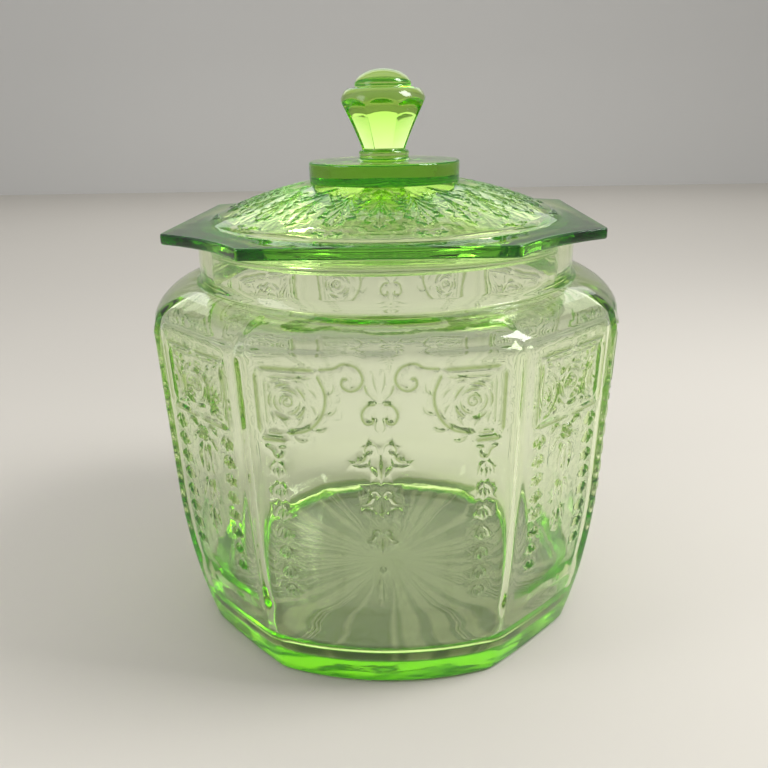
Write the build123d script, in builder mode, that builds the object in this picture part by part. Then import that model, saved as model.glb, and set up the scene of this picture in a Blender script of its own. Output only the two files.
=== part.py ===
from build123d import *
from math import atan2, cos, degrees, hypot, radians, sin
import os

# Pressed-glass storage jar with a lid that lifts straight off.
# Millimetres, +Z up, origin on the table under the middle of the foot. A wide panel faces -Y.

# Jar: heights
shoulder_height = 112.0  # table to where the shoulder begins
shoulder_rise = 11.5
neck_height = 15.5
floor_thickness = 5.0

# Jar: plan
ridge_angle = 29.0  # from the middle of a wide panel to the ridge beside it
ridge_radius = 83.7  # axis to a ridge where the shoulder begins
side_taper = 0.037  # radius lost for each millimetre down the side
foot_tuck = 7.5  # further radius lost at the foot
tuck_height = 58.0  # where the side starts to curve in towards the foot
foot_rounding = 1.5
neck_radius = 65.0
body_wall = 4.2
neck_wall = 4.0
floor_rounding = 12.0
rim_rounding = 1.2

# Panels: how far the middle of each stands out, as a share of the ridge radius
wide_middle_top = 0.956
wide_middle_foot = 0.966
narrow_middle_top = 0.968
narrow_middle_foot = 0.968

# Lid: flange and locating ring
flange_half_side = 38.7  # half of a straight side
flange_overhang = 3.4  # a straight side stands this far out from the neck
flange_thickness = 3.5
flange_scoop = 3.0  # how far each corner side curves inwards
flange_corner_rounding = 2.0
flange_rounding = 0.8
ring_clearance = 0.5  # locating ring to the neck's bore, on the radius
ring_depth = 6.0
ring_width = 3.5

# Lid: dome, collar and knob
dome_step = 0.6  # the dome stands this far above the flange where it begins
dome_rise = 10.9
dome_bulge = 1.2
dome_hollow_rise = 11.0
collar_radius = 25.8
collar_height = 6.9
collar_rounding = 0.8
stem_radius = 8.6
stem_height = 3.4
knob_sides = 8
knob_waist = 7.2  # axis to a facet at its foot
knob_reach = 13.4  # axis to a facet at its head
knob_facet_height = 15.2
knob_shoulder_height = 4.6
crown_radius = 9.7
crown_height = 5.9

# Places that follow from the sizes above
neck_foot_height = shoulder_height + shoulder_rise
jar_height = neck_foot_height + neck_height
flange_reach = neck_radius + flange_overhang
bore_radius = neck_radius - neck_wall
ring_radius = bore_radius - ring_clearance
ring_bore_radius = ring_radius - ring_width
flange_top = jar_height + flange_thickness
dome_foot = flange_top + dome_step
collar_foot = dome_foot + dome_rise
collar_top = collar_foot + collar_height
facet_foot = collar_top + stem_height
facet_head = facet_foot + knob_facet_height
crown_foot = facet_head + knob_shoulder_height


def blend(start, end, share):
    return start + (end - start) * share


def point_at(radius, angle):
    """Plan point at an angle from the front, turning towards +X."""
    return radius * sin(radians(angle)), -radius * cos(radians(angle))


def side_radius(height):
    """Outer radius of a ridge, between the foot and the shoulder."""
    tuck = foot_tuck * max(0.0, 1.0 - height / tuck_height) ** 2
    return ridge_radius - side_taper * (shoulder_height - height) - tuck


def panelled_section(height, ridge, wide_middle, narrow_middle):
    """A closed outline of four wide bowed panels with four narrow ones between them."""
    with BuildSketch(Plane.XY.offset(height)) as section:
        with BuildLine():
            for front in (0.0, 90.0, 180.0, 270.0):
                far = point_at(ridge, front + ridge_angle)
                ThreePointArc(point_at(ridge, front - ridge_angle), point_at(wide_middle, front), far)
                following = point_at(ridge, front + 90.0 - ridge_angle)
                ThreePointArc(far, point_at(narrow_middle, front + 45.0), following)
        make_face()
    return section.sketch


def side_section(height, inset):
    """A section of the panelled side, inset from the outside."""
    share = height / shoulder_height
    ridge = side_radius(height) - inset
    wide = ridge * blend(wide_middle_foot, wide_middle_top, share)
    narrow = ridge * blend(narrow_middle_foot, narrow_middle_top, share)
    return panelled_section(height, ridge, wide, narrow)


def shoulder_section(turn, inset, top_radius, top_height):
    """A section of the shoulder, a quarter ellipse that rises to the neck."""
    spread = cos(radians(turn))
    ridge = ridge_radius - inset
    return panelled_section(
        blend(shoulder_height, top_height, sin(radians(turn))),
        blend(top_radius, ridge, spread),
        blend(top_radius, ridge * wide_middle_top, spread),
        blend(top_radius, ridge * narrow_middle_top, spread),
    )


def vessel_sections(floor, rounding, inset, top_radius, top_height):
    """Four runs of sections: rounded foot, tucked-in side, straight side and shoulder."""
    foot = []
    for turn in (0.0, 30.0, 60.0, 90.0):
        level = floor + rounding * (1.0 - cos(radians(turn)))
        foot.append(side_section(level, inset + rounding * (1.0 - sin(radians(turn)))))
    levels = [blend(floor + rounding, tuck_height, step / 4) for step in range(5)]
    tucked = [side_section(level, inset) for level in levels]
    straight = [side_section(tuck_height, inset), side_section(shoulder_height, inset)]
    turns = (0.0, 25.0, 50.0, 70.0, 90.0)
    shoulder = [shoulder_section(turn, inset, top_radius, top_height) for turn in turns]
    return foot, tucked, straight, shoulder


with BuildPart() as jar:
    for sections in vessel_sections(0.0, foot_rounding, 0.0, neck_radius, neck_foot_height):
        loft(sections)
    with BuildSketch(Plane.XY.offset(neck_foot_height)):
        Circle(neck_radius)
    extrude(amount=jar_height - neck_foot_height)

    # The hollow follows the outside, up to the round bore of the neck
    bore_foot = neck_foot_height - body_wall
    for sections in vessel_sections(floor_thickness, floor_rounding, body_wall, bore_radius, bore_foot):
        loft(sections, mode=Mode.SUBTRACT)
    with BuildSketch(Plane.XY.offset(bore_foot)):
        Circle(bore_radius)
    extrude(amount=jar_height - bore_foot, mode=Mode.SUBTRACT)
    fillet(jar.edges().group_by(Axis.Z)[-1], rim_rounding)

with BuildPart() as lid:
    # Flange: four straight sides joined by four scooped corner sides
    corner_radius = hypot(flange_half_side, flange_reach)
    corner_angle = degrees(atan2(flange_half_side, flange_reach))
    scoop_radius = corner_radius * cos(radians(45.0 - corner_angle)) - flange_scoop
    with BuildSketch(Plane.XY.offset(jar_height)):
        with BuildLine():
            for front in (0.0, 90.0, 180.0, 270.0):
                corner = point_at(corner_radius, front + corner_angle)
                Line(point_at(corner_radius, front - corner_angle), corner)
                following = point_at(corner_radius, front + 90.0 - corner_angle)
                ThreePointArc(corner, point_at(scoop_radius, front + 45.0), following)
        make_face()
        Circle(blend(ring_bore_radius, ring_radius, 0.5), mode=Mode.SUBTRACT)
    extrude(amount=flange_thickness)
    seat_middle = (0.0, 0.0, jar_height)
    fillet(lid.edges().filter_by(Axis.Z).sort_by_distance(seat_middle)[-8:], flange_corner_rounding)
    for face_side in (0, -1):
        rim_edges = lid.edges().group_by(Axis.Z)[face_side].sort_by_distance(seat_middle)[1:]
        fillet(rim_edges, flange_rounding)

    # Dome and collar, and the ring underneath that drops into the jar's bore
    dome_middle = (
        blend(collar_radius, ring_radius, 0.5),
        blend(collar_foot, dome_foot, 0.5) + dome_bulge,
    )
    hollow_top = jar_height + dome_hollow_rise
    hollow_curve = (ring_bore_radius**2 + dome_hollow_rise**2) / (2.0 * dome_hollow_rise)
    with BuildSketch(Plane.XZ):
        with BuildLine():
            Polyline(
                (0.0, hollow_top),
                (0.0, collar_top),
                (collar_radius, collar_top),
                (collar_radius, collar_foot),
            )
            ThreePointArc((collar_radius, collar_foot), dome_middle, (ring_radius, dome_foot))
            Polyline(
                (ring_radius, dome_foot),
                (ring_radius, jar_height - ring_depth),
                (ring_bore_radius, jar_height - ring_depth),
                (ring_bore_radius, jar_height),
            )
            RadiusArc((ring_bore_radius, jar_height), (0.0, hollow_top), -hollow_curve)
        make_face()
    revolve(axis=Axis.Z)
    fillet(lid.edges().group_by(Axis.Z)[-1], collar_rounding)
    fillet(lid.edges().group_by(Axis.Z)[0], flange_rounding)

    # Solid knob: round stem, flaring facets, rounded shoulder and crown
    with BuildSketch(Plane.XY.offset(collar_top)):
        Circle(stem_radius)
    extrude(amount=stem_height)
    half_facet = 180.0 / knob_sides
    with BuildSketch(Plane.XY.offset(facet_foot)):
        RegularPolygon(knob_waist, knob_sides, major_radius=False, rotation=half_facet)
    with BuildSketch(Plane.XY.offset(facet_head)):
        RegularPolygon(knob_reach, knob_sides, major_radius=False, rotation=half_facet)
    loft()
    with BuildSketch(Plane.XY.offset(facet_head)):
        RegularPolygon(knob_reach, knob_sides, major_radius=False, rotation=half_facet)
    with BuildSketch(Plane.XY.offset(crown_foot)):
        RegularPolygon(crown_radius, knob_sides, major_radius=False, rotation=half_facet)
    loft()
    crown_curve = (crown_radius**2 + crown_height**2) / (2.0 * crown_height)
    with BuildSketch(Plane.XZ):
        with BuildLine():
            Polyline((crown_radius, crown_foot), (0.0, crown_foot), (0.0, crown_foot + crown_height))
            RadiusArc((0.0, crown_foot + crown_height), (crown_radius, crown_foot), crown_curve)
        make_face()
    revolve(axis=Axis.Z)

jar.part.label = "jar"
lid.part.label = "lid"

os.makedirs("parts", exist_ok=True)
export_step(jar.part, "parts/jar.step")
export_step(lid.part, "parts/lid.step")
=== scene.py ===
import math

import bmesh
import bpy
import numpy as np
from mathutils import Matrix, Vector
from mathutils.geometry import delaunay_2d_cdt


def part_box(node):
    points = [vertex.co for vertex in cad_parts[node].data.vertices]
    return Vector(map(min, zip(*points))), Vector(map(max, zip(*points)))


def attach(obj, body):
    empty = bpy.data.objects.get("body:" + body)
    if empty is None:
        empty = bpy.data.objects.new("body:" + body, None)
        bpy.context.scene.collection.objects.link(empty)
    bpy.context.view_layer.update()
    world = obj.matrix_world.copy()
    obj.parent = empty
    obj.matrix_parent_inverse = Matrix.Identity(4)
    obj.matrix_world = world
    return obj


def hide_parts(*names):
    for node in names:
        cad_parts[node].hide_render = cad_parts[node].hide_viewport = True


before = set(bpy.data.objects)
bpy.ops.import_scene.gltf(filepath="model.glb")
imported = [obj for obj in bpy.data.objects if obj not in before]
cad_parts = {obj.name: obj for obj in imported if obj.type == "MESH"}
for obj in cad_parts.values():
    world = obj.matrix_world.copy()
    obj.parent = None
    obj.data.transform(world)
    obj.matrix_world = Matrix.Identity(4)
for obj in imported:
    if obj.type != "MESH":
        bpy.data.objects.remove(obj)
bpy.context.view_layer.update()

bl_info = {
    "name": "Pressed glass storage jar",
    "version": (1, 0, 0),
    "blender": (4, 5, 0),
    "location": "View3D > Sidebar > Jar",
    "description": "Builds a panelled green glass jar with relief decoration and a domed lid",
    "category": "Object",
}

MM = 0.001  # all shapes below are worked out in millimetres

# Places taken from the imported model
_, jar_high = (np.array(corner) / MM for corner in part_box("jar"))
lid_low, lid_high = (np.array(corner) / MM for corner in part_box("lid"))
RIM = jar_high[2]
TOP = lid_high[2]

# Jar, as in the part: heights, plan and panels
SHOULDER = 112.0
NECK_FOOT = 123.5
FLOOR = 5.0
RIDGE_ANGLE = 29.0
RIDGE = 83.7
TAPER = 0.037
TUCK = 7.5
TUCK_TOP = 58.0
NECK = 65.0
BODY_WALL = 4.2
BORE = 61.0
FOOT_ROUNDING = 1.5
FLOOR_ROUNDING = 12.0
RIM_ROUNDING = 1.2
# Middles of the panels as shares of the ridge radius, at the foot and the shoulder
WIDE_MIDDLE = (0.966, 0.956)
NARROW_MIDDLE = (0.968, 0.968)

# Lid, as in the part
FLANGE_TOP = RIM + 3.5
FLANGE_HALF = 38.7
FLANGE_REACH = lid_high[0]
RING_OUT = 60.5
RING_IN = 57.0
DOME_FOOT = FLANGE_TOP + 0.6
COLLAR = 25.8
COLLAR_FOOT = DOME_FOOT + 10.9
COLLAR_TOP = COLLAR_FOOT + 6.9
FLANGE_ROUNDING = 0.8
COLLAR_ROUNDING = 0.8
FLANGE_SCOOP = 3.0
HOLLOW_RISE = 11.0

RIDGE_SOFTNESS = 1.5  # the ridges between panels are rounded over this far
PANEL_FOOT = 26.0  # the relief panels lie between these heights
PANEL_TOP = 116.0
PANEL_FADE = 5.0  # a panel's ground sinks to its full depth over this far from its border
PLAN_SCALE = 80.0  # a relief drawing's width is laid out as arc length at this radius
PLUMES = 12
CORNER_TOUCH = 1.2  # how far from a flange corner its 2 mm rounding begins
PAINTED_LINE_SHADE = 0.5  # painted shade on a raised line, standing in for the light and dark of its slopes, where 1 is the flange's edge
# Painted shade: the rounded foot is painted deeper green, standing in for light's long path through the glass there
FOOT_PAINTED_SHADE = 0.8
LID_DEPTH = 2.2  # the lid's glass is set this much deeper in colour than the jar's
HAIR = 0.06  # faces that touch are kept this far apart, so that light meets them in turn


def blend(start, end, share):
    return start + (end - start) * share


# ---------------------------------------------------------------- surfaces


def panel_radius(angle, half_angle, ridge, middle):
    """Polar radius of a bowed panel whose middle and ridges are at these radii."""
    cosine = math.cos(half_angle)
    centre = (ridge**2 - middle**2) / (2.0 * (ridge * cosine - middle))
    bow = middle - centre
    return centre * np.cos(angle) + np.sign(bow) * np.sqrt(bow**2 - (centre * np.sin(angle)) ** 2)


def outline_radius(turn, ridge, wide, narrow):
    """Radius of the eight-panelled outline at a turn in degrees from the front."""
    turn = np.asarray(turn, float)
    from_wide = (turn + 45.0) % 90.0 - 45.0
    in_wide = np.abs(from_wide) <= RIDGE_ANGLE
    wide_part = panel_radius(
        np.radians(np.clip(from_wide, -RIDGE_ANGLE, RIDGE_ANGLE)), math.radians(RIDGE_ANGLE), ridge, wide
    )
    limit = 45.0 - RIDGE_ANGLE
    from_narrow = np.clip((turn % 90.0) - 45.0, -limit, limit)
    narrow_part = panel_radius(np.radians(from_narrow), math.radians(limit), ridge, narrow)
    off = RIDGE * np.abs(np.radians(np.abs(from_wide) - RIDGE_ANGLE))
    softened = 0.2 * (np.hypot(off, RIDGE_SOFTNESS) - off)
    return np.where(in_wide, wide_part, narrow_part) - softened


def side_ridge(height):
    tuck = TUCK * max(0.0, 1.0 - height / TUCK_TOP) ** 2
    return RIDGE - TAPER * (SHOULDER - height) - tuck


def jar_radius(turn, height, inset=0.0):
    """Outside or inset radius of the body at a turn and a height."""
    top_radius = NECK if inset == 0.0 else BORE
    top = NECK_FOOT - inset
    share = min(height, SHOULDER) / SHOULDER
    ridge = side_ridge(min(height, SHOULDER)) - inset
    wide = ridge * blend(WIDE_MIDDLE[0], WIDE_MIDDLE[1], share)
    narrow = ridge * blend(NARROW_MIDDLE[0], NARROW_MIDDLE[1], share)
    side = outline_radius(turn, ridge, wide, narrow)
    if height <= SHOULDER:
        return side
    rise = min(1.0, (height - SHOULDER) / (top - SHOULDER))
    return top_radius + (side - top_radius) * math.sqrt(1.0 - rise**2)


def dome_height(radius):
    """Height of the lid's dome, a shallow arc from the collar to its foot."""
    share = (np.asarray(radius, float) - COLLAR) / (RING_OUT - COLLAR)
    return blend(COLLAR_FOOT, DOME_FOOT, share) + 4.8 * share * (1.0 - share)


# ---------------------------------------------------------------- relief strokes


def smooth_path(points, step):
    """An even run of points along a smooth curve through a few given ones."""
    points = np.array(points, float)
    padded = np.vstack([2 * points[0] - points[1], points, 2 * points[-1] - points[-2]])
    dense = []
    for i in range(1, len(padded) - 2):
        before, start, end, after = padded[i - 1 : i + 3]
        t = np.linspace(0.0, 1.0, 16, endpoint=False)[:, None]
        bend = 2 * before - 5 * start + 4 * end - after
        twist = 3 * start - before - 3 * end + after
        dense.append(0.5 * (2 * start + (end - before) * t + bend * t**2 + twist * t**3))
    dense = np.vstack(dense + [padded[-2:-1]])
    lengths = np.r_[0.0, np.cumsum(np.hypot(*np.diff(dense, axis=0).T))]
    count = max(3, int(math.ceil(lengths[-1] / step)) + 1)
    even = np.linspace(0.0, lengths[-1], count)
    return np.stack([np.interp(even, lengths, dense[:, k]) for k in (0, 1)], 1)


def stroke(points, width, height=0.6, swell="even", step=1.1):
    """A raised line: its middle points, half widths and heights."""
    path = smooth_path(points, step) if len(points) > 2 else np.linspace(*np.array(points, float), 9)
    share = np.linspace(0.0, 1.0, len(path))
    if swell == "leaf":
        shape = np.sin(math.pi * share) ** 0.75
    elif swell == "comma":
        shape = np.minimum(1.0, share / 0.18) ** 0.6 * (1.0 - share) ** 0.6
    else:
        length = np.hypot(*np.diff(path, axis=0).T).sum()
        shape = np.clip(np.minimum(share, 1.0 - share) * length / 0.9, 0.0, 1.0) ** 0.5
    look = bpy.context.scene.glass_jar
    return path, look.line_boldness * width / 2.0 * shape, look.relief / MM * height / 0.7 * shape**0.6


def placed(strokes, turn=0.0, mirror=False):
    """Copies of strokes, mirrored in u and turned about the origin."""
    angle = math.radians(turn)
    spin = np.array([[math.cos(angle), math.sin(angle)], [-math.sin(angle), math.cos(angle)]])
    moved = []
    for path, half, height in strokes:
        path = path * (-1.0 if mirror else 1.0, 1.0)
        moved.append((path @ spin, half, height))
    return moved


def both_sides(strokes):
    return strokes + placed(strokes, mirror=True)


def arc_points(centre, radius, start, end, count=7):
    turns = np.radians(np.linspace(start, end, count))
    return [(centre[0] + radius * math.cos(t), centre[1] + radius * math.sin(t)) for t in turns]


def rose(centre, radius, petals=6):
    """A full rose: rolled bud, inner petals and a ring of outer petals."""
    turns = np.linspace(0.0, 3.2 * math.pi, 14)
    bud = [
        (centre[0] + radius * (0.06 + 0.028 * t) * math.cos(t), centre[1] + radius * (0.06 + 0.028 * t) * math.sin(t))
        for t in turns
    ]
    strokes = [stroke(bud, 1.0, 0.6, step=0.8)]
    for k in range(3):
        start = 120.0 * k + 20.0
        strokes.append(stroke(arc_points(centre, radius * 0.56, start, start + 112.0), 1.2, 0.65, "leaf", 0.9))
    for k in range(petals):
        start = 360.0 / petals * k
        strokes.append(
            stroke(arc_points(centre, radius * 0.8, start, start + 330.0 / petals), 1.3, 0.7, "leaf", 1.0)
        )
    return strokes


def bell(at, size):
    """A hanging bellflower: an arched cap over three tongues."""
    half_bell = [
        stroke(
            [(0.0, 0.5), (-0.26, 0.42), (-0.4, 0.16), (-0.44, -0.16), (-0.52, -0.3)],
            1.25 / size, 0.75, "even", 0.9 / size,
        ),
        stroke([(-0.2, 0.16), (-0.24, -0.06), (-0.22, -0.34)], 0.8 / size, 0.5, "leaf", 0.9 / size),
    ]
    tongue = [stroke([(0.0, 0.22), (0.01, -0.1), (0.0, -0.5)], 1.0 / size, 0.6, "leaf", 0.9 / size)]
    return [(path * size + at, half * size, height) for path, half, height in both_sides(half_bell) + tongue]


def drop(at, size):
    """A fleur drop: a pair of ram's-horn curls, swept wings and a bell with a long tongue."""
    half_drop = [
        stroke(
            [(-0.08, 0.26), (-0.16, 0.56), (-0.38, 0.62), (-0.52, 0.42), (-0.42, 0.24), (-0.27, 0.3), (-0.32, 0.44)],
            1.3 / size, 0.7, "even", 0.8 / size,
        ),
        stroke([(-0.46, 0.3), (-0.6, 0.02), (-1.0, -0.12)], 2.0 / size, 0.75, "comma", 0.9 / size),
        stroke([(-0.98, -0.16), (-0.64, -0.22), (-0.34, -0.16)], 0.9 / size, 0.5, "leaf", 0.9 / size),
        stroke([(-0.34, 0.08), (-0.38, -0.24), (-0.14, -0.62)], 1.1 / size, 0.6, "even", 0.9 / size),
    ]
    tongue = [stroke([(0.0, 0.16), (0.01, -0.3), (0.0, -0.84)], 1.5 / size, 0.65, "leaf", 0.9 / size)]
    return [(path * size + at, half * size, height) for path, half, height in both_sides(half_drop) + tongue]


def wide_panel_drawing():
    """Corner fans with a rose, scrolls, central drops and edge chains."""
    half = [
        stroke([(-34.8, 90.0), (-34.8, 111.2)], 1.9, 0.75),
        stroke([(-34.6, 111.2), (-16.5, 111.2)], 1.9, 0.75),
        stroke([(-32.4, 93.0), (-32.4, 108.4)], 0.9, 0.5),
        stroke([(-32.0, 108.7), (-17.6, 108.7)], 0.9, 0.5),
        stroke([(-34.6, 89.4), (-26.6, 89.4)], 1.9, 0.75),
        stroke([(-32.6, 91.6), (-27.6, 91.6)], 1.0, 0.6),
    ]
    # Quarter-round edge of the corner fan, with scallops outside it
    half.append(stroke([(-17.2, 110.2), (-15.0, 104.0), (-16.2, 98.0), (-20.2, 93.4), (-27.0, 91.6)], 1.5, 0.7))
    for centre, start in (((-15.2, 106.4), -50), ((-14.6, 100.6), -72), ((-17.2, 95.4), -98), ((-22.2, 91.9), -125)):
        half.append(stroke(arc_points(centre, 2.6, start - 48, start + 82, 6), 0.9, 0.5, "leaf", 0.8))
    half += rose((-26.0, 101.4), 6.6, 5)
    # Leaves round the rose fill the fan
    for tail, tip in (
        ((-31.2, 106.9), (-27.4, 107.3)),
        ((-31.4, 103.6), (-31.6, 107.0)),
        ((-25.0, 107.7), (-20.6, 107.0)),
        ((-20.2, 105.6), (-17.4, 102.4)),
        ((-19.8, 101.0), (-18.0, 97.4)),
        ((-21.4, 97.4), (-23.8, 93.8)),
        ((-31.6, 98.0), (-30.4, 94.0)),
        ((-28.6, 96.0), (-26.4, 93.2)),
    ):
        middle = ((tail[0] + tip[0]) / 2 + 0.5, (tail[1] + tip[1]) / 2 + 0.5)
        half.append(stroke([tail, middle, tip], 1.3, 0.5, "leaf", 0.9))
    # C-scroll that rises from the top line and curls under
    half.append(
        stroke(
            [
                (-17.0, 111.4), (-12.4, 111.9), (-9.6, 113.2), (-6.0, 112.2), (-4.4, 109.0),
                (-5.6, 106.4), (-8.0, 105.4), (-10.2, 106.8), (-9.8, 108.9), (-8.0, 108.6),
            ],
            1.4, 0.7, "even", 0.9,
        )
    )
    half.append(stroke([(-4.2, 107.6), (-3.0, 104.4), (-0.5, 102.2)], 1.5, 0.7, "comma"))
    half.append(stroke([(-1.6, 111.6), (-1.5, 108.0), (-0.4, 104.2)], 1.0, 0.5, "leaf"))
    # Small pair of curls under the scrolls
    curl = [(-0.6, 101.6), (-3.4, 101.2), (-5.0, 98.6), (-4.0, 95.8), (-1.8, 96.2), (-2.2, 98.2)]
    half.append(stroke(curl, 1.4, 0.7, "even", 0.8))
    half.append(stroke([(-0.5, 97.4), (-1.4, 94.6), (-0.3, 92.6)], 0.9, 0.5, "leaf", 0.8))
    # Hook and bellflower chain down the edge
    hook = [(-34.0, 87.4), (-31.6, 86.2), (-30.6, 84.0), (-28.6, 84.4), (-29.0, 86.2)]
    half.append(stroke(hook, 1.2, 0.65, "even", 0.8))
    half.append(stroke([(-30.0, 86.8), (-27.0, 87.2)], 1.1, 0.6, "leaf", 0.9))
    strokes = both_sides(half)
    for side in (-1.0, 1.0):
        for k in range(7):
            strokes += bell((side * (30.4 - 0.1 * k), 79.4 - 7.0 * k), 5.6 - 0.12 * k)
    strokes += drop((0.0, 84.2), 8.6)
    strokes += drop((0.0, 70.9), 6.6)
    strokes += drop((0.0, 58.6), 5.4)
    strokes.append(stroke(arc_points((0.0, 48.2), 0.9, 90, 440, 8), 0.8, 0.5, "even", 0.7))
    strokes.append(stroke([(0.0, 44.6), (0.0, 33.0)], 0.8, 0.4, "leaf"))
    return strokes


def narrow_panel_drawing():
    """Framed rosettes over a rose, a central drop and edge chains."""
    half = [
        stroke([(-16.2, 88.2), (-16.2, 111.2)], 1.7, 0.7),
        stroke([(-16.0, 111.2), (0.0, 111.2)], 1.7, 0.7),
        stroke([(-16.0, 89.0), (0.0, 89.0)], 1.7, 0.7),
        stroke([(-14.2, 91.4), (-14.2, 108.9)], 0.9, 0.5),
        stroke([(-13.7, 109.2), (0.0, 109.2)], 0.9, 0.5),
    ]
    # Half rosettes cut by the frame
    for radius, width in ((7.2, 1.0), (5.4, 0.9), (3.4, 0.9), (1.5, 0.9)):
        half.append(stroke(arc_points((-13.6, 98.6), radius, -84, 84, 8), width, 0.6, "leaf", 0.9))
    for tail, tip in (
        ((-12.8, 107.6), (-9.0, 106.4)),
        ((-8.2, 108.0), (-6.4, 104.6)),
        ((-12.6, 91.0), (-9.2, 91.6)),
        ((-7.6, 90.9), (-6.2, 93.6)),
    ):
        middle = ((tail[0] + tip[0]) / 2, (tail[1] + tip[1]) / 2 + 0.6)
        half.append(stroke([tail, middle, tip], 1.2, 0.5, "leaf", 0.9))
    # Leaves beside the small rose, and the tassel that hangs from it
    half.append(stroke([(-2.4, 85.0), (-5.6, 87.2), (-8.4, 84.6)], 1.6, 0.6, "leaf", 0.9))
    half.append(stroke([(-2.0, 82.4), (-5.0, 82.4), (-7.6, 79.0)], 1.5, 0.6, "comma", 0.9))
    half.append(stroke([(-1.4, 80.4), (-3.6, 76.0), (-3.0, 70.0)], 1.4, 0.6, "comma", 1.0))
    half.append(stroke([(-1.2, 68.0), (-3.4, 64.0), (-4.8, 59.6)], 1.3, 0.6, "comma", 1.0))
    half.append(stroke([(-0.9, 58.0), (-2.6, 54.4), (-3.4, 51.4)], 1.2, 0.55, "comma", 0.9))
    strokes = both_sides(half)
    strokes += rose((0.0, 99.6), 8.6, 7)
    strokes += rose((0.0, 83.6), 2.9, 4)
    strokes.append(stroke([(0.0, 79.8), (0.0, 69.0)], 1.5, 0.6, "leaf"))
    strokes.append(stroke([(0.0, 67.4), (0.0, 58.6)], 1.4, 0.6, "leaf"))
    strokes.append(stroke([(0.0, 57.2), (0.0, 48.0)], 1.2, 0.55, "leaf"))
    for side in (-1.0, 1.0):
        for k in range(8):
            strokes += bell((side * (13.3 - 0.1 * k), 83.6 - 6.2 * k), 5.0 - 0.14 * k)
    return strokes


def plume(root, lobes, tip):
    """A leaf plume of the lid: a stem with a vein and a toothed edge to each lobe.

    Lobes are (half width, distance from the lid's middle), as is the tip's distance."""
    half = []
    for width, reach in lobes:
        start = max(reach - 9.0, root - 3.4)
        vein = [(-0.3, start), (-0.42 * width, blend(start, reach, 0.5)), (-0.86 * width, reach - 0.9)]
        half.append(stroke(vein, 0.55, 0.26, "comma", 1.2))
        edge = [
            (-0.6 * width, reach - 1.5), (-0.92 * width, reach - 1.0), (-width, reach + 0.2),
            (-0.78 * width, reach + 1.1), (-0.56 * width, reach + 0.8),
        ]
        half.append(stroke(edge, 0.55, 0.3, "even", 0.8))
    half.append(stroke([(-1.9, tip - 2.6), (-1.5, tip - 1.2), (-0.7, tip - 1.0), (-0.05, tip)], 0.55, 0.3, "even", 0.8))
    return [stroke([(0.0, root), (0.0, tip - 1.8)], 0.6, 0.26, "even", 1.4)] + both_sides(half)


def on_plan(strokes):
    """Strokes drawn as (width, distance from the middle), laid round the lid's plan."""
    moved = []
    for path, half, height in strokes:
        angle = path[:, 0] / path[:, 1]
        moved.append((np.stack([path[:, 1] * np.sin(angle), -path[:, 1] * np.cos(angle)], 1), half, height))
    return moved


def lid_drawing():
    """One great plume, and the smaller plume and sprig that stand beside it."""
    great = on_plan(plume(31.0, ((5.0, 34.2), (6.9, 38.0), (7.9, 41.8), (3.4, 46.6), (4.3, 50.6)), 55.2))
    small = plume(36.0, ((3.4, 37.4), (4.9, 44.6), (5.5, 48.4), (3.0, 51.6)), 54.4)
    sprig = [
        stroke(
            [(-5.4, 57.0), (-4.0, 58.1), (-3.0, 57.4), (-2.0, 58.9), (-0.9, 58.6), (0.0, 59.6)],
            0.55, 0.28, "even", 0.9,
        ),
        stroke([(-4.6, 56.9), (-2.6, 57.0), (-0.5, 57.2)], 0.5, 0.22, "leaf", 1.0),
    ]
    return great, on_plan(small + both_sides(sprig))


# ---------------------------------------------------------------- relief patch


def relief_height(points, strokes):
    """Height of the highest stroke at each point, zero away from them."""
    starts, spans, half_a, half_b, high_a, high_b = [], [], [], [], [], []
    for path, half, height in strokes:
        starts.append(path[:-1])
        spans.append(path[1:] - path[:-1])
        half_a.append(half[:-1])
        half_b.append(half[1:])
        high_a.append(height[:-1])
        high_b.append(height[1:])
    starts, spans = np.vstack(starts), np.vstack(spans)
    half_a, half_b, high_a, high_b = map(np.concatenate, (half_a, half_b, high_a, high_b))
    square = (spans**2).sum(1)
    heights = np.zeros(len(points))
    for first in range(0, len(points), 500):
        gap = points[first : first + 500, None, :] - starts[None]
        along = np.clip((gap * spans).sum(2) / square, 0.0, 1.0)
        distance = np.hypot(*np.moveaxis(gap - along[..., None] * spans, 2, 0))
        half = blend(half_a, half_b, along)
        rise = blend(high_a, high_b, along) * np.clip(1.0 - distance / np.maximum(half, 1e-6), 0.0, 1.0)
        heights[first : first + 500] = rise.max(1)
    return heights


def relief_patch(strokes, borders, grid, heights_at):
    """Triangles inside the borders whose edges follow every stroke, with heights."""
    coords, edges = [], []

    def chain(points, closed=False):
        first = len(coords)
        coords.extend((float(x), float(y)) for x, y in points)
        count = len(points)
        for k in range(count if closed else count - 1):
            edges.append((first + k, first + (k + 1) % count))

    for border in borders:
        chain(border, True)
    for path, half, _ in strokes:
        along = np.gradient(path, axis=0)
        along /= np.hypot(*along.T)[:, None]
        normal = np.stack([-along[:, 1], along[:, 0]], 1)
        chain(path)
        for side in (-1.0, 1.0):
            chain(path + side * normal * np.maximum(half, 0.04)[:, None])
    coords.extend(map(tuple, grid[heights_at(grid, 1.0) == 0.0]))
    points, _, faces, *_ = delaunay_2d_cdt(coords, edges, [], 0, 1e-3)
    points = np.array([tuple(point) for point in points])
    return points, [tuple(face) for face in faces], heights_at(points, 0.0)


def widened(strokes, margin):
    return [(path, half + margin, height + margin) for path, half, height in strokes]


# ---------------------------------------------------------------- mesh building


def around(turns, radii, height):
    """Ring of points at these turns from the front; radii and height may vary."""
    angle = np.radians(turns)
    radii = np.broadcast_to(radii, angle.shape)
    height = np.broadcast_to(height, angle.shape)
    return np.stack([radii * np.sin(angle), -radii * np.cos(angle), height], 1)


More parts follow.
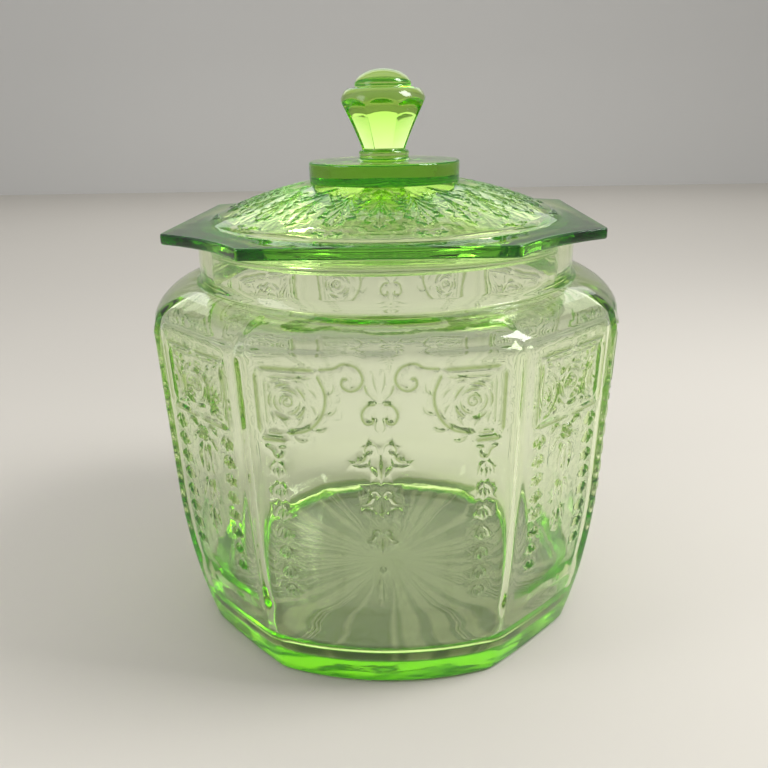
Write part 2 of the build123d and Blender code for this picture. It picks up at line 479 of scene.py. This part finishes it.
class Shell:
    """Collects points and faces of one closed glass piece."""

    def __init__(self):
        self.points, self.faces, self.raised = [], [], []

    def add(self, points, faces, raised=None):
        first = len(self.points)
        self.points.extend(map(tuple, points))
        self.raised.extend(np.zeros(len(points)) if raised is None else raised)
        self.faces.extend(tuple(first + i for i in face) for face in faces)

    def rings(self, rings, painted_shades=None):
        """Quads between one ring of points and the next; the optional list gives each ring's painted shade, a deeper
        green that stands in for light's long path through the glass.
        """
        count = len(rings[0])
        faces = []
        for level in range(len(rings) - 1):
            for k in range(count):
                here, beside = level * count + k, level * count + (k + 1) % count
                faces.append((here, beside, beside + count, here + count))
        self.add(np.vstack(rings), faces, None if painted_shades is None else np.repeat(painted_shades, count))

    def cap(self, ring, centre):
        """A fan that closes a ring."""
        count = len(ring)
        self.add(np.vstack([ring, [centre]]), [(k, (k + 1) % count, count) for k in range(count)])

    def finish(self, name, sharp=lambda a, b: False):
        mesh = bpy.data.meshes.new(name)
        mesh.from_pydata([tuple(MM * value for value in point) for point in self.points], [], self.faces)
        # This attribute carries painted shade: a tone on the relief lines, and deeper green on the foot's and flange's
        # edges
        mesh.attributes.new("raised", "FLOAT", "POINT").data.foreach_set("value", self.raised)
        piece = bpy.data.objects.new(name, mesh)
        bpy.context.collection.objects.link(piece)
        bpy.ops.object.select_all(action="DESELECT")
        bpy.context.view_layer.objects.active = piece
        piece.select_set(True)
        bpy.ops.object.mode_set(mode="EDIT")
        bpy.ops.mesh.select_all(action="SELECT")
        bpy.ops.mesh.remove_doubles(threshold=0.002 * MM)
        bpy.ops.mesh.normals_make_consistent(inside=False)
        bpy.ops.object.mode_set(mode="OBJECT")
        bpy.ops.object.shade_smooth()
        # Large flat faces keep their own slope, so each raised line shows a crisp foot
        bpy.ops.object.modifier_add(type="WEIGHTED_NORMAL")
        piece.modifiers[-1].weight = 90
        piece.modifiers[-1].keep_sharp = True
        places = np.array([vertex.co for vertex in mesh.vertices]) / MM
        for edge in mesh.edges:
            a, b = places[edge.vertices[0]], places[edge.vertices[1]]
            edge.use_edge_sharp = bool(sharp(a, b))
        bpy.ops.object.modifier_apply(modifier=piece.modifiers[-1].name)
        open_edges = count_open_edges(mesh)
        if open_edges:
            raise RuntimeError(f"{name} is not closed: {open_edges} open edges")
        return piece


def count_open_edges(mesh):
    work = bmesh.new()
    work.from_mesh(mesh)
    count = sum(len(edge.link_faces) != 2 for edge in work.edges)
    work.free()
    return count


def quarter(steps):
    return np.sin(np.linspace(0.0, math.pi / 2, steps)), np.cos(np.linspace(0.0, math.pi / 2, steps))


# ---------------------------------------------------------------- jar


def build_jar():
    near_ridge = np.array([0.0, 0.35, 0.8, 1.4, 2.4])
    limit = 45.0 - RIDGE_ANGLE
    wide = np.r_[-RIDGE_ANGLE + near_ridge, np.linspace(-25.0, 25.0, 21), (RIDGE_ANGLE - near_ridge)[::-1]]
    narrow = np.r_[-limit + near_ridge, np.linspace(-12.4, 12.4, 9), (limit - near_ridge)[::-1]]
    turns = np.concatenate([90.0 * k + np.r_[wide[:-1], 45.0 + narrow[:-1]] for k in range(4)])
    low, high = PANEL_FOOT, PANEL_TOP
    relief = bpy.context.scene.glass_jar.relief / MM  # the panels sink by this, so the relief ends flush
    up = np.linspace(low, high, 24)
    shell = Shell()
    for drawing, angles, first in ((wide_panel_drawing(), wide, 0.0), (narrow_panel_drawing(), narrow, 45.0)):
        across = np.radians(angles) * PLAN_SCALE
        border = [(x, low) for x in across[:-1]] + [(across[-1], y) for y in up[:-1]]
        border += [(x, high) for x in across[:0:-1]] + [(across[0], y) for y in up[:0:-1]]
        grid = np.array([(x, y) for x in across[1:-1] for y in up[1:-1]])
        points, faces, heights = relief_patch(
            drawing, [border], grid, lambda at, margin: relief_height(at, widened(drawing, margin))
        )
        local = np.degrees(points[:, 0] / PLAN_SCALE)
        base = np.array([float(jar_radius(t + first, z)) for t, z in zip(local, points[:, 1])])
        inside = np.minimum(across[-1] - np.abs(points[:, 0]), np.minimum(points[:, 1] - low, high - points[:, 1]))
        share = np.clip(inside / PANEL_FADE, 0.0, 1.0)
        sunk = relief * share**2 * (3.0 - 2.0 * share)
        radii = base + np.minimum(heights - sunk, 0.0)
        for k in range(4):
            panel = around(local + first + 90.0 * k, radii, points[:, 1])
            # Painted shade on the relief lines, greenest on their crests
            shell.add(panel, faces, PAINTED_LINE_SHADE * heights / relief)

    def outside(height):
        return around(turns, jar_radius(turns, height), height)

    # Foot and the plain band under the panels
    rings = []
    for s, c in zip(*quarter(6)):
        height = FOOT_ROUNDING * (1 - c)
        rings.append(around(turns, jar_radius(turns, height) - FOOT_ROUNDING * (1 - s), height))
    rings[0][:, 2] = HAIR
    rounded = len(rings)
    rings += [outside(height) for height in np.linspace(FOOT_ROUNDING, low, 9)[1:]]
    shell.cap(rings[0], (0.0, 0.0, HAIR))
    # The rounded foot's rings get painted deep green; the band above is plain
    shell.rings(rings, [FOOT_PAINTED_SHADE] * rounded + [0.0] * (len(rings) - rounded))

    # Shoulder, neck and rim
    start = math.asin((high - SHOULDER) / (NECK_FOOT - SHOULDER))
    rings = [outside(high)]
    for angle in np.linspace(start, math.pi / 2, 12)[1:]:
        rings.append(outside(SHOULDER + (NECK_FOOT - SHOULDER) * math.sin(angle)))
    top = RIM - HAIR
    edge = RIM_ROUNDING
    rings += [around(turns, NECK, height) for height in np.linspace(NECK_FOOT, top - edge, 5)[1:]]
    rings += [around(turns, NECK - edge * (1 - c), top - edge * (1 - s)) for s, c in zip(*quarter(5))][1:]
    rings += [around(turns, BORE + edge * (1 - s), top - edge * (1 - c)) for s, c in zip(*quarter(5))]

    # Bore, hollow and floor
    bore_foot = NECK_FOOT - BODY_WALL
    rings += [around(turns, BORE, height) for height in np.linspace(top - edge, bore_foot, 6)[1:]]
    for angle in np.linspace(math.pi / 2, 0.0, 12)[1:]:
        height = SHOULDER + (bore_foot - SHOULDER) * math.sin(angle)
        rings.append(around(turns, jar_radius(turns, height, BODY_WALL), height))
    corner = FLOOR_ROUNDING
    for height in np.linspace(SHOULDER, FLOOR + corner, 20)[1:]:
        rings.append(around(turns, jar_radius(turns, height, BODY_WALL), height))
    for s, c in list(zip(*quarter(10)))[1:]:
        height = FLOOR + corner * (1 - s)
        rings.append(around(turns, jar_radius(turns, height, BODY_WALL) - corner * (1 - c), height))
    shell.rings(rings)
    shell.cap(rings[-1], (0.0, 0.0, FLOOR))

    return shell.finish("jar_glass")


# ---------------------------------------------------------------- lid


def flange_outline(turns, inset, height):
    """Flange outline with straight sides, scooped corner sides and eight rounded corners."""
    tip = np.array([FLANGE_HALF, -FLANGE_REACH + inset])
    chord = (FLANGE_REACH - FLANGE_HALF) * math.sqrt(2.0)
    middle = np.array([(FLANGE_HALF + FLANGE_REACH) / 2.0, -(FLANGE_HALF + FLANGE_REACH) / 2.0])
    inward = np.array([-1.0, 1.0]) * math.sqrt(0.5)

    def scooped(share):
        """A point from the corner, share 0, to the next one, share 1."""
        along = (share - 0.5) * chord * np.array([1.0, 1.0]) * math.sqrt(0.5)
        return middle + along + inward * (4.0 * FLANGE_SCOOP * share * (1.0 - share) + inset)

    touch = CORNER_TOUCH / chord
    flat_end, scoop_start = 26.25, 33.75  # turns, from a side's middle, where a corner's rounding begins and ends
    points = []
    for turn in turns:
        local = (turn + 45.0) % 90.0 - 45.0
        side, away = math.copysign(1.0, local), abs(local)
        if away <= flat_end:
            plan = np.array([(FLANGE_HALF - CORNER_TOUCH) * away / flat_end, -FLANGE_REACH + inset])
        elif away < scoop_start:
            share = (away - flat_end) / (scoop_start - flat_end)
            first, last = tip - np.array([CORNER_TOUCH, 0.0]), scooped(touch)
            plan = (1 - share) ** 2 * first + 2 * share * (1 - share) * tip + share**2 * last
        else:
            plan = scooped(touch + (0.5 - touch) * (away - scoop_start) / (45.0 - scoop_start))
        angle = math.radians(turn - local)
        x = side * plan[0] * math.cos(angle) - plan[1] * math.sin(angle)
        y = side * plan[0] * math.sin(angle) + plan[1] * math.cos(angle)
        points.append((x, y, height))
    return np.array(points)


def octagon(turns, apothem):
    """Polar radius of an octagon with a flat side at the front."""
    local = (turns + 22.5) % 45.0 - 22.5
    return apothem / np.cos(np.radians(local))


def build_lid():
    turns = np.linspace(0.0, 360.0, 96, endpoint=False)
    shell = Shell()
    great, small = lid_drawing()
    period = 360.0 / PLUMES
    strokes = []
    for k in range(PLUMES):
        strokes += placed(great, turn=period * k) + placed(small, turn=period * (k + 0.5))
    nearby = great + placed(small, turn=period / 2) + placed(small, turn=-period / 2)

    def heights_at(points, margin):
        """Heights by one plume's sector, on to which every point is turned."""
        angle = np.arctan2(points[:, 0], -points[:, 1])
        step = math.radians(period)
        local = angle - step * np.round(angle / step)
        reach = np.hypot(*points.T)
        folded = np.stack([reach * np.sin(local), -reach * np.cos(local)], 1)
        return relief_height(folded, widened(nearby, margin))

    borders = [around(turns, RING_OUT, 0.0)[:, :2], around(turns, COLLAR, 0.0)[:, :2]]
    grid = np.vstack([around(turns, radius, 0.0)[:, :2] for radius in np.linspace(COLLAR, RING_OUT, 11)[1:-1]])
    points, faces, heights = relief_patch(strokes, borders, grid, heights_at)
    reach = np.hypot(*points.T)
    faces = [face for face in faces if np.hypot(*points[list(face)].mean(0)) > COLLAR]
    # Painted shade on the plumes' raised lines
    shell.add(np.column_stack([points, dome_height(reach) + heights]), faces, PAINTED_LINE_SHADE * heights / heights.max())

    # Flange, from the dome's foot out over the edge and back to the locating ring
    edge = FLANGE_ROUNDING
    rings = [around(turns, RING_OUT, DOME_FOOT), around(turns, RING_OUT + 0.5, FLANGE_TOP)]
    rings.append(blend(rings[-1], flange_outline(turns, edge, FLANGE_TOP), 0.5))
    for s, c in zip(*quarter(4)):
        rings.append(flange_outline(turns, edge * (1 - s), FLANGE_TOP - edge * (1 - c)))
    for s, c in zip(*quarter(4)):
        rings.append(flange_outline(turns, edge * (1 - c), RIM + edge * (1 - s)))
    ring_foot = lid_low[2]
    rings.append(around(turns, RING_OUT, RIM))
    rings.append(around(turns, RING_OUT, ring_foot + edge))
    rings += [around(turns, RING_OUT - edge * (1 - c), ring_foot + edge * (1 - s)) for s, c in zip(*quarter(4))][1:]
    rings += [around(turns, RING_IN + edge * (1 - s), ring_foot + edge * (1 - c)) for s, c in zip(*quarter(4))]
    rings.append(around(turns, RING_IN, RIM))
    curve = (RING_IN**2 + HOLLOW_RISE**2) / (2.0 * HOLLOW_RISE)
    for radius in np.linspace(RING_IN, 3.0, 18)[1:]:
        rings.append(around(turns, radius, RIM + HOLLOW_RISE - curve + math.sqrt(curve**2 - radius**2)))
    # Painted deep green grows over the flange's top to its edge, standing in for light's long path along the glass, and
    # its underside and the hollow are plain
    painted_shades = [0.0, 0.1, 0.35] + [1.0] * 8
    shell.rings(rings, painted_shades + [0.0] * (len(rings) - len(painted_shades)))
    shell.cap(rings[-1], (0.0, 0.0, RIM + HOLLOW_RISE))

    # Collar, stem, faceted knob and crown
    edge = COLLAR_ROUNDING
    rings = [around(turns, COLLAR, COLLAR_FOOT), around(turns, COLLAR, COLLAR_TOP - edge)]
    rings += [around(turns, COLLAR - edge * (1 - c), COLLAR_TOP - edge * (1 - s)) for s, c in zip(*quarter(4))][1:]
    rings.append(around(turns, 14.0, COLLAR_TOP))
    # The stem draws in from the collar and has a bead under the facets
    for radius, height in ((9.6, 0.0), (8.7, 0.5), (8.35, 1.3), (8.6, 2.2), (8.5, 2.9), (8.0, 3.3)):
        rings.append(around(turns, radius, COLLAR_TOP + height))
    waist = COLLAR_TOP + 3.6
    head = COLLAR_TOP + 18.6
    waist_apothem, flare = 7.2, 6.4
    shoulder_foot, shoulder_rise = TOP - 12.4, 6.9
    neck_radius, shoulder_swell = 10.0, 4.7
    for height in np.linspace(waist, TOP - 6.2, 44):
        share = (height - waist) / (head - waist)
        facet = octagon(turns, waist_apothem + flare * share**1.15)
        lift = max(0.0, (height - shoulder_foot) / shoulder_rise)
        round_part = neck_radius + shoulder_swell * math.sqrt(max(0.0, 1.0 - lift**2))
        rings.append(around(turns, np.minimum(facet, round_part), height))
    crown_radius, crown_rise = 9.6, 5.6
    rings.append(around(turns, 9.9, TOP - 5.9))
    rings.append(around(turns, 9.4, TOP - crown_rise))
    for angle in np.linspace(0.15, 1.45, 12):
        height = TOP - crown_rise + crown_rise * math.sin(angle)
        rings.append(around(turns, crown_radius * math.cos(angle), height))
    shell.rings(rings)
    shell.cap(rings[-1], (0.0, 0.0, TOP))

    def sharp(a, b):
        """Facet edges of the knob, and the joint at the foot of the collar."""
        mean = (a + b) / 2
        turn = math.degrees(math.atan2(mean[0], -mean[1]))
        upright = abs(a[2] - b[2]) > 0.3 * math.hypot(a[0] - b[0], a[1] - b[1])
        on_knob = waist - 0.1 < mean[2] < head and abs((turn % 45.0) - 22.5) < 0.5
        collar_joint = abs(math.hypot(a[0], a[1]) - COLLAR) < 0.01 and abs(a[2] - COLLAR_FOOT) < 0.01
        return (upright and on_knob) or (collar_joint and abs(a[2] - b[2]) < 0.01)

    return shell.finish("lid_glass", sharp)


# ---------------------------------------------------------------- materials


def srgb(code):
    """Linear colour of an sRGB hex code."""
    values = [int(code[i : i + 2], 16) / 255.0 for i in (1, 3, 5)]
    return tuple(v / 12.92 if v <= 0.04045 else ((v + 0.055) / 1.055) ** 2.4 for v in values) + (1.0,)


def add_node(material, kind, settings=None, links=None):
    """Add a node; settings are its properties and socket values, links its inputs' sources."""
    node = material.node_tree.nodes.new(kind)
    for key, value in (settings or {}).items():
        if key in node.inputs:
            node.inputs[key].default_value = value
        else:
            setattr(node, key, value)
    for key, source in (links or {}).items():
        material.node_tree.links.new(source, node.inputs[key])
    return node


def new_material(name):
    material = bpy.data.materials.new(name)
    material.use_nodes = True
    material.node_tree.nodes.clear()
    return material


def pressed_glass(name, look, ripple_height):
    """Green pressed glass with a glossy, slightly uneven skin.

    Almost clear through one wall, deep leaf green where the eye looks along the glass, partly from the glass's depth
    and partly painted on the edges, with painted shade on the raised lines, a slow ripple such as a mould leaves and a
    faint haze in patches."""
    material = new_material(name)
    place = add_node(material, "ShaderNodeTexCoord").outputs["Object"]
    # Slow ripple, about 14 mm from crest to crest: it bends what is seen through the walls
    waves = add_node(
        material, "ShaderNodeTexNoise", {"Scale": 1.0 / 0.014, "Detail": 1.0, "Roughness": 0.4}, {"Vector": place}
    )
    # Finer ripple, about 2.5 mm across and far shallower: it breaks up the highlights
    chill = add_node(
        material, "ShaderNodeTexNoise", {"Scale": 1.0 / 0.0025, "Detail": 2.0, "Roughness": 0.5}, {"Vector": place}
    )
    skin = add_node(
        material, "ShaderNodeMath", {"operation": "MULTIPLY_ADD"}, {0: chill.outputs["Fac"], 2: waves.outputs["Fac"]}
    )
    skin.inputs[1].default_value = 0.05
    bump = add_node(
        material, "ShaderNodeBump", {"Strength": 1.0, "Distance": ripple_height}, {"Height": skin.outputs["Value"]}
    )
    # Haze in patches about 30 mm across, with finer detail inside them
    marks = add_node(
        material, "ShaderNodeTexNoise", {"Scale": 1.0 / 0.03, "Detail": 5.0, "Roughness": 0.65}, {"Vector": place}
    )
    polish = add_node(
        material, "ShaderNodeMapRange",
        {"From Min": 0.45, "From Max": 0.75, "To Min": 0.0, "To Max": 0.07}, {"Value": marks.outputs["Fac"]},
    )
    # Painted shade: raised lines are painted a tone greener than the ground, and the flange's and foot's edges painted
    # deep green for light's long path along the glass
    raised = add_node(material, "ShaderNodeAttribute", {"attribute_name": "raised"})
    tone = add_node(material, "ShaderNodeValToRGB", {}, {"Fac": raised.outputs["Fac"]})
    tone.color_ramp.elements[0].color = tuple(look.surface) + (1.0,)
    tone.color_ramp.elements[0].position = 0.15 * PAINTED_LINE_SHADE
    tone.color_ramp.elements[1].color = tuple(look.edge) + (1.0,)
    line = tone.color_ramp.elements.new(0.85 * PAINTED_LINE_SHADE)
    line.color = tuple(look.raised) + (1.0,)
    glass = add_node(
        material, "ShaderNodeBsdfPrincipled", {"IOR": 1.515, "Transmission Weight": 1.0},
        {
            "Base Color": tone.outputs["Color"],
            "Roughness": polish.outputs["Result"],
            "Normal": bump.outputs["Normal"],
        },
    )
    tint = add_node(
        material, "ShaderNodeVolumeAbsorption", {"Color": tuple(look.depth) + (1.0,), "Density": look.density}
    )
    add_node(
        material, "ShaderNodeOutputMaterial", {},
        {"Surface": glass.outputs["BSDF"], "Volume": tint.outputs["Volume"]},
    )
    return material


def matt_board(name, colour, grain):
    """Matt emulsion on board: one pale tone with slow roller clouds a few percent apart."""
    material = new_material(name)
    place = add_node(material, "ShaderNodeTexCoord").outputs["Object"]
    tone = add_node(material, "ShaderNodeTexNoise", {"Scale": 1.0 / grain, "Detail": 3.0}, {"Vector": place})
    ramp = add_node(material, "ShaderNodeValToRGB", {}, {"Fac": tone.outputs["Fac"]})
    ramp.color_ramp.elements[0].color = tuple(0.96 * value for value in colour) + (1.0,)
    ramp.color_ramp.elements[1].color = tuple(colour) + (1.0,)
    board = add_node(
        material, "ShaderNodeBsdfPrincipled", {"Roughness": 0.85}, {"Base Color": ramp.outputs["Color"]}
    )
    add_node(material, "ShaderNodeOutputMaterial", {}, {"Surface": board.outputs["BSDF"]})
    return material


# ---------------------------------------------------------------- stage


def studio_board(name, colour, grain, **place):
    bpy.ops.object.select_all(action="DESELECT")
    bpy.ops.mesh.primitive_plane_add(size=6.0, **place)
    board = bpy.context.object
    board.name = name
    board.data.materials.append(matt_board(name.replace("_", " "), colour, grain))


def softbox(name, place, aim, size, power):
    bpy.ops.object.light_add(type="AREA", location=place)
    box = bpy.context.object
    box.name = name
    box.data.shape = "RECTANGLE"
    box.data.size, box.data.size_y = size
    box.data.energy = power
    box.rotation_euler = (Vector(place) - Vector(aim)).to_track_quat("Z", "Y").to_euler()


def studio_light(look):
    """A soft room, brightest behind the glass, which shows its colour, and dimmer at the front and sides."""
    world = bpy.data.worlds.new("Soft studio")
    bpy.context.scene.world = world
    world.use_nodes = True
    world.node_tree.nodes.clear()
    way = add_node(world, "ShaderNodeTexCoord").outputs["Generated"]
    axes = add_node(world, "ShaderNodeSeparateXYZ", {}, {"Vector": way}).outputs
    overhead = add_node(
        world, "ShaderNodeMapRange",
        {"From Min": -0.1, "From Max": 0.75, "To Min": 0.85, "To Max": 1.05}, {"Value": axes["Z"]},
    )
    aside = add_node(world, "ShaderNodeMath", {"operation": "ABSOLUTE"}, {0: axes["X"]})
    dim = add_node(
        world, "ShaderNodeMapRange",
        {"From Min": 0.5, "From Max": 0.97, "To Min": 1.0, "To Max": 0.72}, {"Value": aside.outputs["Value"]},
    )
    behind = add_node(
        world, "ShaderNodeMapRange",
        {"From Min": -0.7, "From Max": 0.6, "To Min": 0.45, "To Max": 1.2}, {"Value": axes["Y"]},
    )
    lower = add_node(
        world, "ShaderNodeMath", {"operation": "MULTIPLY"}, {0: overhead.outputs["Result"], 1: dim.outputs["Result"]}
    )
    level = add_node(
        world, "ShaderNodeMath", {"operation": "MULTIPLY"}, {0: lower.outputs["Value"], 1: behind.outputs["Result"]}
    )
    scaled = add_node(world, "ShaderNodeMath", {"operation": "MULTIPLY"}, {0: level.outputs["Value"]})
    scaled.inputs[1].default_value = look.room_light
    glow = add_node(
        world, "ShaderNodeBackground", {"Color": srgb("#FBFCFF")}, {"Strength": scaled.outputs["Value"]}
    )
    add_node(world, "ShaderNodeOutputWorld", {}, {"Surface": glow.outputs["Background"]})


def studio_camera():
    """A near camera, a little above the lid, that sees the front panel almost square on."""
    azimuth, away, height = math.radians(1.75), 0.2727, 0.1768
    pan, pitch, roll = math.radians(0.32), math.radians(19.7), math.radians(1.1)
    bpy.ops.object.camera_add()
    camera = bpy.context.object
    camera.data.sensor_width = 36.0
    camera.data.lens = 35.8
    camera.data.clip_start = 0.01
    place = Matrix.Translation((away * math.sin(azimuth), -away * math.cos(azimuth), height))
    heading = Matrix.Rotation(azimuth + pan, 4, "Z")
    tilt = Matrix.Rotation(math.pi / 2 - pitch, 4, "X")
    camera.matrix_world = place @ heading @ tilt @ Matrix.Rotation(-roll, 4, "Z")
    bpy.context.scene.camera = camera


# ---------------------------------------------------------------- add-on


def colour_property(name, description, code):
    return bpy.props.FloatVectorProperty(
        name=name, description=description, subtype="COLOR", size=3, min=0.0, max=1.0, default=srgb(code)[:3]
    )


class GlassTint(bpy.types.PropertyGroup):
    surface: colour_property("Surface tint", "Colour that each surface gives the light through it", "#FDFFFA")
    # Painted shade on the raised lines, in place of the light and dark of their slopes
    raised: colour_property("Relief tint", "Surface tint on the raised lines of the decoration", "#9FB674")
    # Painted deep green on the flange's and foot's edges, standing in for light's long path through the glass
    edge: colour_property("Edge tint", "Surface tint of the flange's and the foot's edges", "#4F9A2E")
    depth: bpy.props.FloatVectorProperty(
        name="Depth tint", description="Colour that the light keeps deep in the glass", subtype="COLOR",
        size=3, min=0.0, max=1.0, default=(0.66, 0.905, 0.05),
    )
    density: bpy.props.FloatProperty(
        name="Depth", description="Absorption of each metre of glass", default=36.0, min=0.0
    )


class JarLook(bpy.types.PropertyGroup):
    relief: bpy.props.FloatProperty(
        name="Relief", description="Height of the pressed decoration", default=0.0009, min=0.0001, max=0.0014,
        unit="LENGTH",
    )
    line_boldness: bpy.props.FloatProperty(
        name="Line boldness", description="Width of the decoration's lines against the drawing", default=1.3,
        min=0.5, max=1.6,
    )
    ripple: bpy.props.FloatProperty(
        name="Mould ripple", description="Depth of the ripple the mould leaves", default=0.00016, min=0.0,
        unit="LENGTH",
    )
    jar_tint: bpy.props.PointerProperty(type=GlassTint)
    lid_tint: bpy.props.PointerProperty(type=GlassTint)


class StudioLook(bpy.types.PropertyGroup):
    floor_colour: colour_property("Floor", "Paint of the floor board", "#D2CDC3")
    wall_colour: colour_property("Wall", "Paint of the board behind", "#E9E8E4")
    room_light: bpy.props.FloatProperty(
        name="Room light", description="Strength of the soft light all round", default=0.95, min=0.0
    )
    window_power: bpy.props.FloatProperty(
        name="Window light", description="Power of the softbox at the right", default=4.0, min=0.0, unit="POWER"
    )


class MESH_OT_glass_jar_body(bpy.types.Operator):
    """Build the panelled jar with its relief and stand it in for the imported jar"""

    bl_idname = "mesh.glass_jar_body"
    bl_label = "Jar"

    def execute(self, context):
        look = context.scene.glass_jar
        jar = build_jar()
        jar.data.materials.append(pressed_glass("Pressed green glass of the jar", look.jar_tint, look.ripple))
        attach(jar, "jar")
        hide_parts("jar")
        return {"FINISHED"}


class MESH_OT_glass_jar_lid(bpy.types.Operator):
    """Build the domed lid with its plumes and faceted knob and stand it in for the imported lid"""

    bl_idname = "mesh.glass_jar_lid"
    bl_label = "Lid"

    def execute(self, context):
        look = context.scene.glass_jar
        look.lid_tint.density = LID_DEPTH * look.jar_tint.density
        lid = build_lid()
        lid.data.materials.append(pressed_glass("Pressed green glass of the lid", look.lid_tint, look.ripple))
        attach(lid, "lid")
        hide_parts("lid")
        return {"FINISHED"}


class SCENE_OT_glass_jar_studio(bpy.types.Operator):
    """Set up the pale floor and wall, the soft light and the camera"""

    bl_idname = "scene.glass_jar_studio"
    bl_label = "Studio"

    def execute(self, context):
        look = context.scene.glass_jar_studio
        studio_board("studio_floor", look.floor_colour, 0.4)
        studio_board("studio_wall", look.wall_colour, 0.6, location=(0.0, 1.6, 0.0), rotation=(math.pi / 2, 0.0, 0.0))
        studio_light(look)
        middle = (0.0, 0.0, 0.1)
        softbox("window_softbox", (0.5, -0.06, 0.62), middle, (0.26, 0.36), look.window_power)
        softbox("left_softbox", (-0.7, -0.3, 0.45), middle, (0.3, 0.6), 0.4 * look.window_power)
        softbox("back_softbox", (0.0, 1.2, 0.9), middle, (1.6, 0.8), look.window_power)
        studio_camera()
        scene = context.scene
        scene.view_settings.view_transform = "Standard"
        # Light crosses many faces in thick glass before it leaves
        scene.cycles.max_bounces = 32
        scene.cycles.glossy_bounces = 32
        scene.cycles.transmission_bounces = 32
        return {"FINISHED"}


class VIEW3D_PT_glass_jar(bpy.types.Panel):
    bl_label = "Pressed glass jar"
    bl_space_type = "VIEW_3D"
    bl_region_type = "UI"
    bl_category = "Jar"

    def draw(self, context):
        jar, studio = context.scene.glass_jar, context.scene.glass_jar_studio
        for name in ("relief", "line_boldness", "ripple"):
            self.layout.prop(jar, name)
        for name in ("surface", "depth", "density"):
            self.layout.prop(jar.jar_tint, name)
        for name in ("floor_colour", "wall_colour", "room_light", "window_power"):
            self.layout.prop(studio, name)
        for operator in (MESH_OT_glass_jar_body, MESH_OT_glass_jar_lid, SCENE_OT_glass_jar_studio):
            self.layout.operator(operator.bl_idname)


CLASSES = (
    GlassTint,
    JarLook,
    StudioLook,
    MESH_OT_glass_jar_body,
    MESH_OT_glass_jar_lid,
    SCENE_OT_glass_jar_studio,
    VIEW3D_PT_glass_jar,
)


def register():
    for cls in CLASSES:
        bpy.utils.register_class(cls)
    bpy.types.Scene.glass_jar = bpy.props.PointerProperty(type=JarLook)
    bpy.types.Scene.glass_jar_studio = bpy.props.PointerProperty(type=StudioLook)


def unregister():
    del bpy.types.Scene.glass_jar_studio
    del bpy.types.Scene.glass_jar
    for cls in reversed(CLASSES):
        bpy.utils.unregister_class(cls)


def main():
    register()
    bpy.ops.mesh.glass_jar_body()
    bpy.ops.mesh.glass_jar_lid()
    bpy.ops.scene.glass_jar_studio()


if __name__ == "__main__":
    main()
